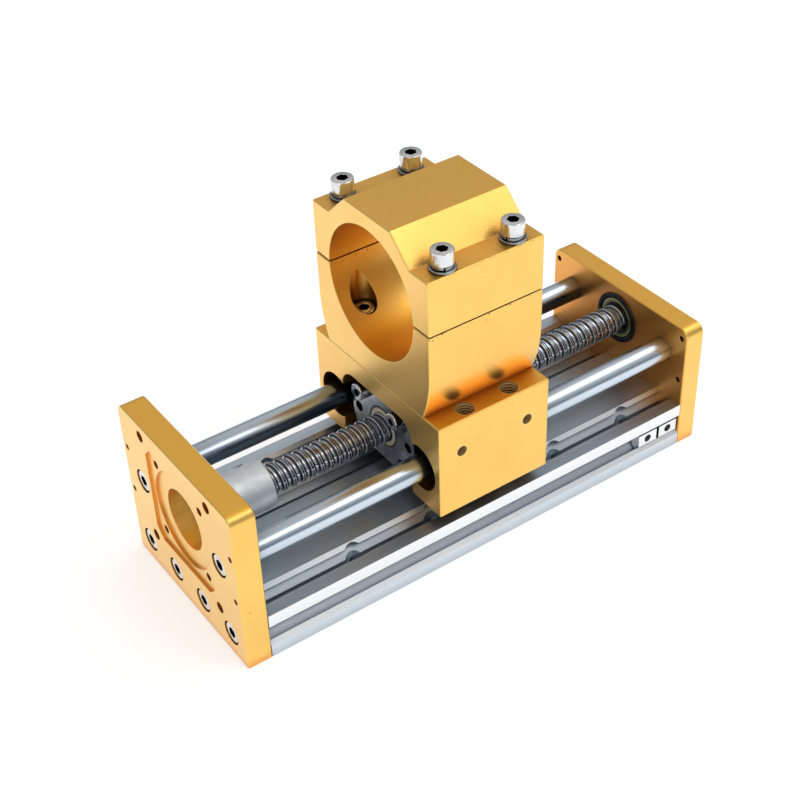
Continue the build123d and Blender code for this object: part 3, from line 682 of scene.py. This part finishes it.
def buildBallScrew(settings):
    centre, size = nodeCentre("ball_screw")
    startX = centre.x - size.x / 2 + settings["motorJournal"]
    endX = centre.x + size.x / 2 - settings["endJournal"]
    axisZ = centre.z
    pitch = settings["pitch"]
    clearSelection()
    bpy.ops.mesh.primitive_plane_add(size=pitch, location=(startX - 1.5 * pitch, 0, axisZ))
    thread = bpy.context.object
    selectPart(thread, "VERT", lambda co: co.y > 0)
    bpy.ops.mesh.delete(type="VERT")
    bpy.ops.mesh.select_all(action="SELECT")
    bpy.ops.transform.translate(value=(0, pitch / 2, settings["radius"]))
    bpy.ops.mesh.subdivide(number_cuts=settings["cuts"])
    objectMode()
    shares = sorted({round((v.co.x + pitch / 2) / pitch, 4) for v in thread.data.vertices})
    for share in shares:
        drop = grooveDrop(share, settings)
        if drop > 0:
            selectPart(thread, "VERT", lambda co: abs((co.x + pitch / 2) / pitch - share) < 0.001)
            bpy.ops.transform.translate(value=(0, 0, -drop))
    objectMode()
    # painted light and shade: brightness of each line of the profile, carried round by the winding
    painted = thread.data.attributes.new("threadLightAndShade", "FLOAT", "POINT")
    for v in thread.data.vertices:
        step = round((v.co.x + pitch / 2) / pitch * len(settings["paintedThreadLight"]))
        painted.data[v.index].value = settings["paintedThreadLight"][step % len(settings["paintedThreadLight"])]
    winding = thread.modifiers.new("winding", "SCREW")
    winding.axis = "X"
    winding.angle = math.tau
    winding.screw_offset = pitch
    winding.iterations = math.ceil((endX - startX) / pitch) + 3
    winding.steps = settings["stepsPerTurn"]
    winding.render_steps = settings["stepsPerTurn"]
    winding.use_merge_vertices = True
    winding.merge_threshold = 4 * hair
    applyAll(thread)
    applyPlace(thread)
    for x, side in ((startX, 1), (endX, -1)):
        pick(thread)
        editMode("FACE")
        bpy.ops.mesh.select_all(action="SELECT")
        bpy.ops.mesh.bisect(plane_co=(x, 0, axisZ), plane_no=(side, 0, 0), use_fill=True, clear_inner=True)
        objectMode()
    outwards(thread)
    low, high = centre.x - size.x / 2, centre.x + size.x / 2
    overlap, edge = settings["overlap"], settings["journalEdge"]
    motorEnd = roundBar("motorEnd", settings["journal"], low, startX + overlap, axisZ, edge)
    farEnd = roundBar("farEnd", settings["journal"], endX - overlap, high, axisZ, edge)
    screw = joinPieces([thread, motorEnd, farEnd], "ballScrewThread")
    smooth(screw, 40)
    return screw


# socket head screws
# flutes run over a share of the head's height, and fluteDepth is a share of its radius
fluting = {"fluteBottom": 0.16, "fluteTop": 0.80, "fluteDepth": 0.010, "tipEdge": 0.4 * mm}
headM5 = {**fluting, "radius": 4.25 * mm, "height": 5 * mm, "flutes": 44, "topEdge": 0.45 * mm,
          "hex": 4 * mm, "hexDepth": 2.7 * mm, "shank": 2.5 * mm}
headM4 = {**fluting, "radius": 3.5 * mm, "height": 4 * mm, "flutes": 38, "topEdge": 0.4 * mm,
          "hex": 3 * mm, "hexDepth": 2.2 * mm, "shank": 2 * mm}


def socketScrew(name, settings, length):
    # head above Z = 0, shank below
    clearSelection()
    radius, height = settings["radius"], settings["height"]
    bpy.ops.mesh.primitive_cylinder_add(vertices=2 * settings["flutes"], radius=radius, depth=height,
                                        location=(0, 0, height / 2))
    head = bpy.context.object
    applyPlace(head)
    for share in (settings["fluteBottom"], settings["fluteTop"]):
        pick(head)
        editMode("FACE")
        bpy.ops.mesh.select_all(action="SELECT")
        bpy.ops.mesh.bisect(plane_co=(0, 0, share * height), plane_no=(0, 0, 1))
        objectMode()
    step = math.pi / settings["flutes"]

    def inFlute(co):
        turn = round(math.atan2(co.y, co.x) / step)
        return 0.1 * height < co.z < 0.9 * height and turn % 2 == 0 and co.xy.length > 0.5 * radius

    selectPart(head, "VERT", inFlute)
    shrink = 1 - settings["fluteDepth"]
    bpy.ops.transform.resize(value=(shrink, shrink, 1), center_override=(0, 0, 0))
    selectPart(head, "EDGE", lambda a, b: min(a.z, b.z) > height - hair)
    bpy.ops.mesh.bevel(offset=settings["topEdge"], segments=3)
    objectMode()
    bpy.ops.mesh.primitive_cylinder_add(vertices=6, radius=settings["hex"] / math.sqrt(3),
                                        depth=2 * settings["hexDepth"], location=(0, 0, height))
    cutter = bpy.context.object
    applyPlace(cutter)
    pocket = head.modifiers.new("pocket", "BOOLEAN")
    pocket.operation = "DIFFERENCE"
    pocket.object = cutter
    applyAll(head)
    bpy.data.objects.remove(cutter)
    head.data.materials.clear()
    head.data.materials.append(boltSteel)
    head.data.materials.append(socketShade)
    selectPart(head, "FACE", lambda centre, normal: centre.xy.length < 0.6 * settings["hex"]
               and 0.1 * height < centre.z < height - 0.05 * mm)
    head.active_material_index = 1
    bpy.ops.object.material_slot_assign()
    objectMode()
    clearSelection()
    bpy.ops.mesh.primitive_cylinder_add(vertices=32, radius=settings["shank"], depth=length,
                                        location=(0, 0, -length / 2))
    shank = bpy.context.object
    applyPlace(shank)
    selectPart(shank, "EDGE", lambda a, b: max(a.z, b.z) < -length + hair)
    bpy.ops.mesh.bevel(offset=settings["tipEdge"], segments=2)
    objectMode()
    screw = joinPieces([head, shank], name)
    smooth(screw, 30)
    return screw


def nodeSolids(name):
    # centre and size of each separate solid in a CAD node, read from its loose triangles
    mesh = nodes[name].data
    grid = 5 * hair
    cells = {}
    parent = list(range(len(mesh.vertices)))

    def root(i):
        while parent[i] != i:
            parent[i] = parent[parent[i]]
            i = parent[i]
        return i

    for v in mesh.vertices:
        key = tuple(round(c / grid) for c in v.co)
        first = cells.setdefault(key, v.index)
        parent[root(v.index)] = root(first)
    for face in mesh.polygons:
        first = root(face.vertices[0])
        for i in face.vertices[1:]:
            parent[root(i)] = first
    found = {}
    for v in mesh.vertices:
        found.setdefault(root(v.index), []).append(v.co)
    boxes = []
    for points in found.values():
        low = Vector(min(p[i] for p in points) for i in range(3))
        high = Vector(max(p[i] for p in points) for i in range(3))
        boxes.append((low, high))
    return sorted(boxes, key=lambda b: (round(b[0].x, 4), round(b[0].y, 4), round(b[0].z, 4)))


def placeScrews(node, settings, direction, body, label, turns):
    # direction is the way the heads point; the screw takes its seat and length from the CAD solid
    towards = Vector(direction)
    axis = max(range(3), key=lambda i: abs(towards[i]))
    boxes = nodeSolids(node)
    low, high = boxes[0]
    pattern = socketScrew("pattern", settings, (high - low)[axis] - settings["height"])
    for number, (low, high) in enumerate(boxes, 1):
        top = high[axis] if towards[axis] > 0 else low[axis]
        seat = (low + high) / 2
        seat[axis] = top - towards[axis] * settings["height"]
        upright = towards.to_track_quat("Z", "Y").to_matrix().to_4x4()
        twist = Matrix.Rotation(math.radians(turns[(number - 1) % len(turns)]), 4, "Z")
        screw = copyTo(pattern, label + str(number), Matrix.Translation(seat) @ upright @ twist)
        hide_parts(node)
        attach(screw, body)
    bpy.data.objects.remove(pattern)


screwPiece = buildBallScrew(ballScrew)
screwPiece.data.materials.clear()
screwPiece.data.materials.append(screwSteel)
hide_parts("ball_screw")
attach(screwPiece, "screw")
print("ball screw wound")

headTurns = [12, 41, 3, 27]
up, towardsMotor, awayFromMotor = (0, 0, 1), (-1, 0, 0), (1, 0, 0)
screwSets = [
    ("clamp_screws", headM5, up, "carriage", "clampScrew"),
    ("clamp_base_screws", headM5, up, "carriage", "baseScrew"),
    ("ball_nut_screws", headM4, towardsMotor, "carriage", "nutScrew"),
    ("motor_plate_profile_screws", headM5, towardsMotor, "frame", "motorSideScrew"),
    ("motor_plate_rod_screws", headM5, towardsMotor, "frame", "motorRodScrew"),
    ("bearing_plate_profile_screws", headM5, awayFromMotor, "frame", "endSideScrew"),
    ("bearing_plate_rod_screws", headM5, awayFromMotor, "frame", "endRodScrew")]
for node, settings, direction, body, label in screwSets:
    placeScrews(node, settings, direction, body, label, headTurns)
print("screws placed")

# washers under the clamp screws: a rounded flat one and a split spring one
flatLook = {"outer": 5 * mm, "inner": 2.75 * mm, "thickness": 1 * mm, "rim": 0.22 * mm}
springLook = {"outer": 4.2 * mm, "inner": 2.75 * mm, "height": 1.2 * mm, "rise": 0.4 * mm, "turn": 350,
              "corner": 0.12 * mm, "steps": 44}


def flatWasher(settings):
    clearSelection()
    bpy.ops.mesh.primitive_cylinder_add(vertices=56, radius=settings["outer"], depth=settings["thickness"])
    washer = bpy.context.object
    selectPart(washer, "EDGE", lambda a, b: abs(a.z - b.z) < hair)
    bpy.ops.mesh.bevel(offset=settings["rim"], segments=2)
    objectMode()
    bpy.ops.mesh.primitive_cylinder_add(vertices=40, radius=settings["inner"],
                                        depth=2 * settings["thickness"])
    cutter = bpy.context.object
    hole = washer.modifiers.new("hole", "BOOLEAN")
    hole.operation = "DIFFERENCE"
    hole.object = cutter
    applyAll(washer)
    bpy.data.objects.remove(cutter)
    return washer


def springWasher(settings):
    clearSelection()
    width = settings["outer"] - settings["inner"]
    bpy.ops.mesh.primitive_plane_add(size=1, rotation=(math.pi / 2, 0, 0),
                                     location=(settings["inner"] + width / 2, 0, -settings["rise"] / 2))
    coil = bpy.context.object
    coil.scale = (width, settings["height"], 1)
    applyPlace(coil)
    selectPart(coil, "VERT", lambda co: True)
    bpy.ops.mesh.bevel(offset=settings["corner"], segments=1, affect="VERTICES")
    bpy.ops.mesh.delete(type="ONLY_FACE")
    objectMode()
    winding = coil.modifiers.new("winding", "SCREW")
    winding.angle = math.radians(settings["turn"])
    winding.screw_offset = settings["rise"]
    winding.steps = settings["steps"]
    winding.render_steps = settings["steps"]
    applyAll(coil)
    editMode("EDGE")
    bpy.ops.mesh.select_all(action="SELECT")
    bpy.ops.mesh.fill_holes(sides=8)
    objectMode()
    outwards(coil)
    return coil


def placeWashers(pattern, node, label, turns):
    pattern.data.materials.clear()
    pattern.data.materials.append(washerSteel)
    smooth(pattern, 30)
    for number, (low, high) in enumerate(nodeSolids(node), 1):
        twist = Matrix.Rotation(math.radians(turns[(number - 1) % len(turns)]), 4, "Z")
        washer = copyTo(pattern, label + str(number), Matrix.Translation((low + high) / 2) @ twist)
        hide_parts(node)
        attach(washer, "carriage")
    bpy.data.objects.remove(pattern)


placeWashers(flatWasher(flatLook), "clamp_washers", "clampWasher", [0, 20, 40, 60])
placeWashers(springWasher(springLook), "clamp_spring_washers", "clampSpring", [250, 150, 205, 320])
print("washers placed")


# materials on the carried-over parts
finishes = {
    "base_profile": silverExtrusion, "motor_plate": goldMotorPlate, "bearing_plate": goldBearingPlate,
    "carriage_block": goldBlock, "clamp_base": goldClamp, "clamp_cap": goldCap,
    "near_guide_rod": rodChrome, "far_guide_rod": farRodChrome,
    "shaft_coupling": couplingGrey, "coupling_set_screws": darkSteel,
    "ball_nut": nutSteel, "ball_nut_wipers": creamPlastic,
    "end_bearing_outer_ring": blackRing, "end_bearing_inner_ring": blackRing,
    "end_bearing_balls": boltSteel, "end_bearing_shields": shieldSteel, "screw_end_clip": darkSteel,
    "slot_nut_left": zincSteel, "slot_nut_right": zincSteel,
    "near_bearing_sleeve": darkSteel, "far_bearing_sleeve": darkSteel,
    "near_bearing_cage": blackRubber, "far_bearing_cage": blackRubber,
    "near_bearing_seals": blackRubber, "far_bearing_seals": blackRubber}
for name, material in finishes.items():
    for slot in nodes[name].material_slots:
        slot.material = material
print("finishes set")


studio = {"floorSize": 6.0, "floorColour": (0.86, 0.86, 0.86), "floorGlow": 0.44,
          "ambient": 0.62, "backdrop": (1.0, 1.0, 1.0),
          # brightness of the room by height, from the horizon to overhead
          "room": [(0.0, (0.20, 0.23, 0.25)), (0.2, (0.26, 0.29, 0.31)), (0.4, (0.40, 0.42, 0.44)),
                   (0.6, (0.67, 0.62, 0.59)), (1.0, (0.60, 0.60, 0.60))]}


def buildFloor(settings):
    clearSelection()
    bpy.ops.mesh.primitive_plane_add(size=settings["floorSize"], location=(0, 0, 0))
    floor = bpy.context.object
    floor.name = "floor"
    material = bpy.data.materials.new("pale_floor")
    material.use_nodes = True
    tree = material.node_tree
    tree.nodes.clear()
    matte = addNode(tree, "ShaderNodeBsdfDiffuse")
    matte.inputs["Color"].default_value = (*settings["floorColour"], 1)
    glow = addNode(tree, "ShaderNodeEmission")
    path = addNode(tree, "ShaderNodeLightPath")
    seen = compute(tree, "MAXIMUM", path.outputs["Is Camera Ray"], path.outputs["Is Glossy Ray"])
    seen = compute(tree, "MAXIMUM", seen, path.outputs["Is Transmission Ray"])
    wire(tree, (compute(tree, "MULTIPLY", seen, settings["floorGlow"]), glow.inputs["Strength"]))
    total = addNode(tree, "ShaderNodeAddShader")
    out = addNode(tree, "ShaderNodeOutputMaterial")
    wire(tree, (matte.outputs[0], total.inputs[0]), (glow.outputs[0], total.inputs[1]),
         (total.outputs[0], out.inputs["Surface"]))
    floor.data.materials.append(material)


def buildWorld(settings):
    world = bpy.data.worlds.new("studio")
    bpy.context.scene.world = world
    world.use_nodes = True
    tree = world.node_tree
    background = tree.nodes["Background"]
    path = addNode(tree, "ShaderNodeLightPath")
    seen = compute(tree, "MAXIMUM", path.outputs["Is Glossy Ray"], path.outputs["Is Transmission Ray"])
    direction = addNode(tree, "ShaderNodeTexCoord").outputs["Generated"]
    parts = addNode(tree, "ShaderNodeSeparateXYZ")
    wire(tree, (direction, parts.inputs[0]))
    room = rampColour(tree, parts.outputs["Z"], settings["room"])
    strength = mixColour(tree, seen, (settings["ambient"],) * 3, room)
    strength = mixColour(tree, path.outputs["Is Camera Ray"], strength, settings["backdrop"])
    wire(tree, (strength, background.inputs["Color"]))
    background.inputs["Strength"].default_value = 1.0


lamps = {
    "overheadSoftbox": {"place": (0.66, -0.38, 1.16), "length": 1.6, "width": 0.5, "turn": 53,
                        "power": 4.4},
    "leftSoftbox": {"place": (-1.20, -0.80, 0.70), "length": 1.0, "width": 1.0, "turn": 0,
                    "power": 3.0}}


def buildLamps(settings, target):
    for name, lamp in settings.items():
        light = bpy.data.lights.new(name, "AREA")
        light.shape = "RECTANGLE"
        light.size = lamp["length"]
        light.size_y = lamp["width"]
        light.energy = lamp["power"]
        holder = bpy.data.objects.new(name, light)
        bpy.context.collection.objects.link(holder)
        holder.location = lamp["place"]
        back = (holder.location - target).normalized()
        along = Vector((math.cos(math.radians(lamp["turn"])), math.sin(math.radians(lamp["turn"])), 0))
        along = (along - back * along.dot(back)).normalized()
        side = back.cross(along)
        aim = Matrix((along, side, back)).transposed().to_4x4()
        holder.matrix_world = Matrix.Translation(lamp["place"]) @ aim


cameraSettings = {"place": (-0.26274, -0.37331, 0.40243), "azimuth": -33.96, "elevation": 38.07,
                  "roll": -2.25, "lens": 68.24, "sensor": 36.0}


def buildCamera(settings):
    data = bpy.data.cameras.new("camera")
    camera = bpy.data.objects.new("camera", data)
    bpy.context.collection.objects.link(camera)
    data.lens = settings["lens"]
    data.sensor_width = settings["sensor"]
    data.clip_start = 0.01
    data.clip_end = 50.0
    turn = Matrix.Rotation(math.radians(settings["azimuth"]), 4, "Z")
    tilt = Matrix.Rotation(math.radians(90 - settings["elevation"]), 4, "X")
    roll = Matrix.Rotation(math.radians(settings["roll"]), 4, "Z")
    camera.matrix_world = Matrix.Translation(settings["place"]) @ turn @ tilt @ roll
    bpy.context.scene.camera = camera


buildFloor(studio)
buildWorld(studio)
buildLamps(lamps, Vector((0, 0, 0.05)))
buildCamera(cameraSettings)
print("stage set")
